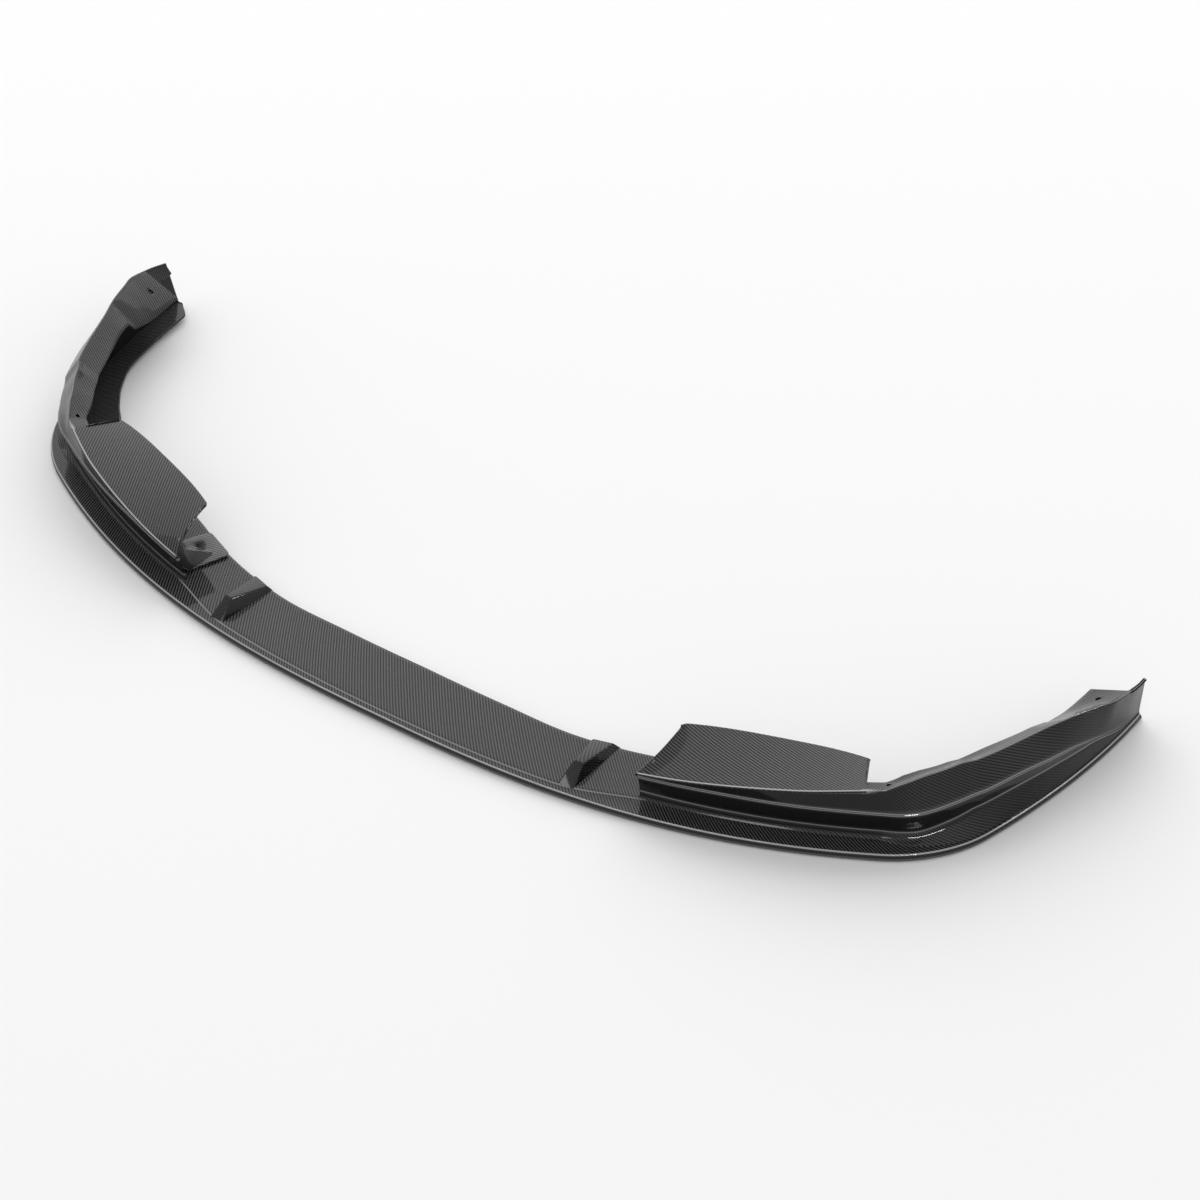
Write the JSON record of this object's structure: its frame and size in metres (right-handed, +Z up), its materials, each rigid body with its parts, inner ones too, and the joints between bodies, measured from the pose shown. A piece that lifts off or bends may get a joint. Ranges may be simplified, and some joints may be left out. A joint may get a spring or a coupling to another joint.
{
  "type": "front splitter lip",
  "caption": "Wide front splitter lip with a thin blade, raised shelves, side wings and flat end plates.",
  "frame": {"origin": "middle of the bounding box's base, on the ground and on the symmetry plane", "axes": "+X across the car, -Y forwards, +Z up"},
  "size_m": [1.8406, 0.644, 0.125],
  "materials": {
    "carbon": "clear lacquer over woven carbon fibre"
  },
  "bodies": {
    "root": {"splitter_lip": "carbon"}
  },
  "joints": []
}
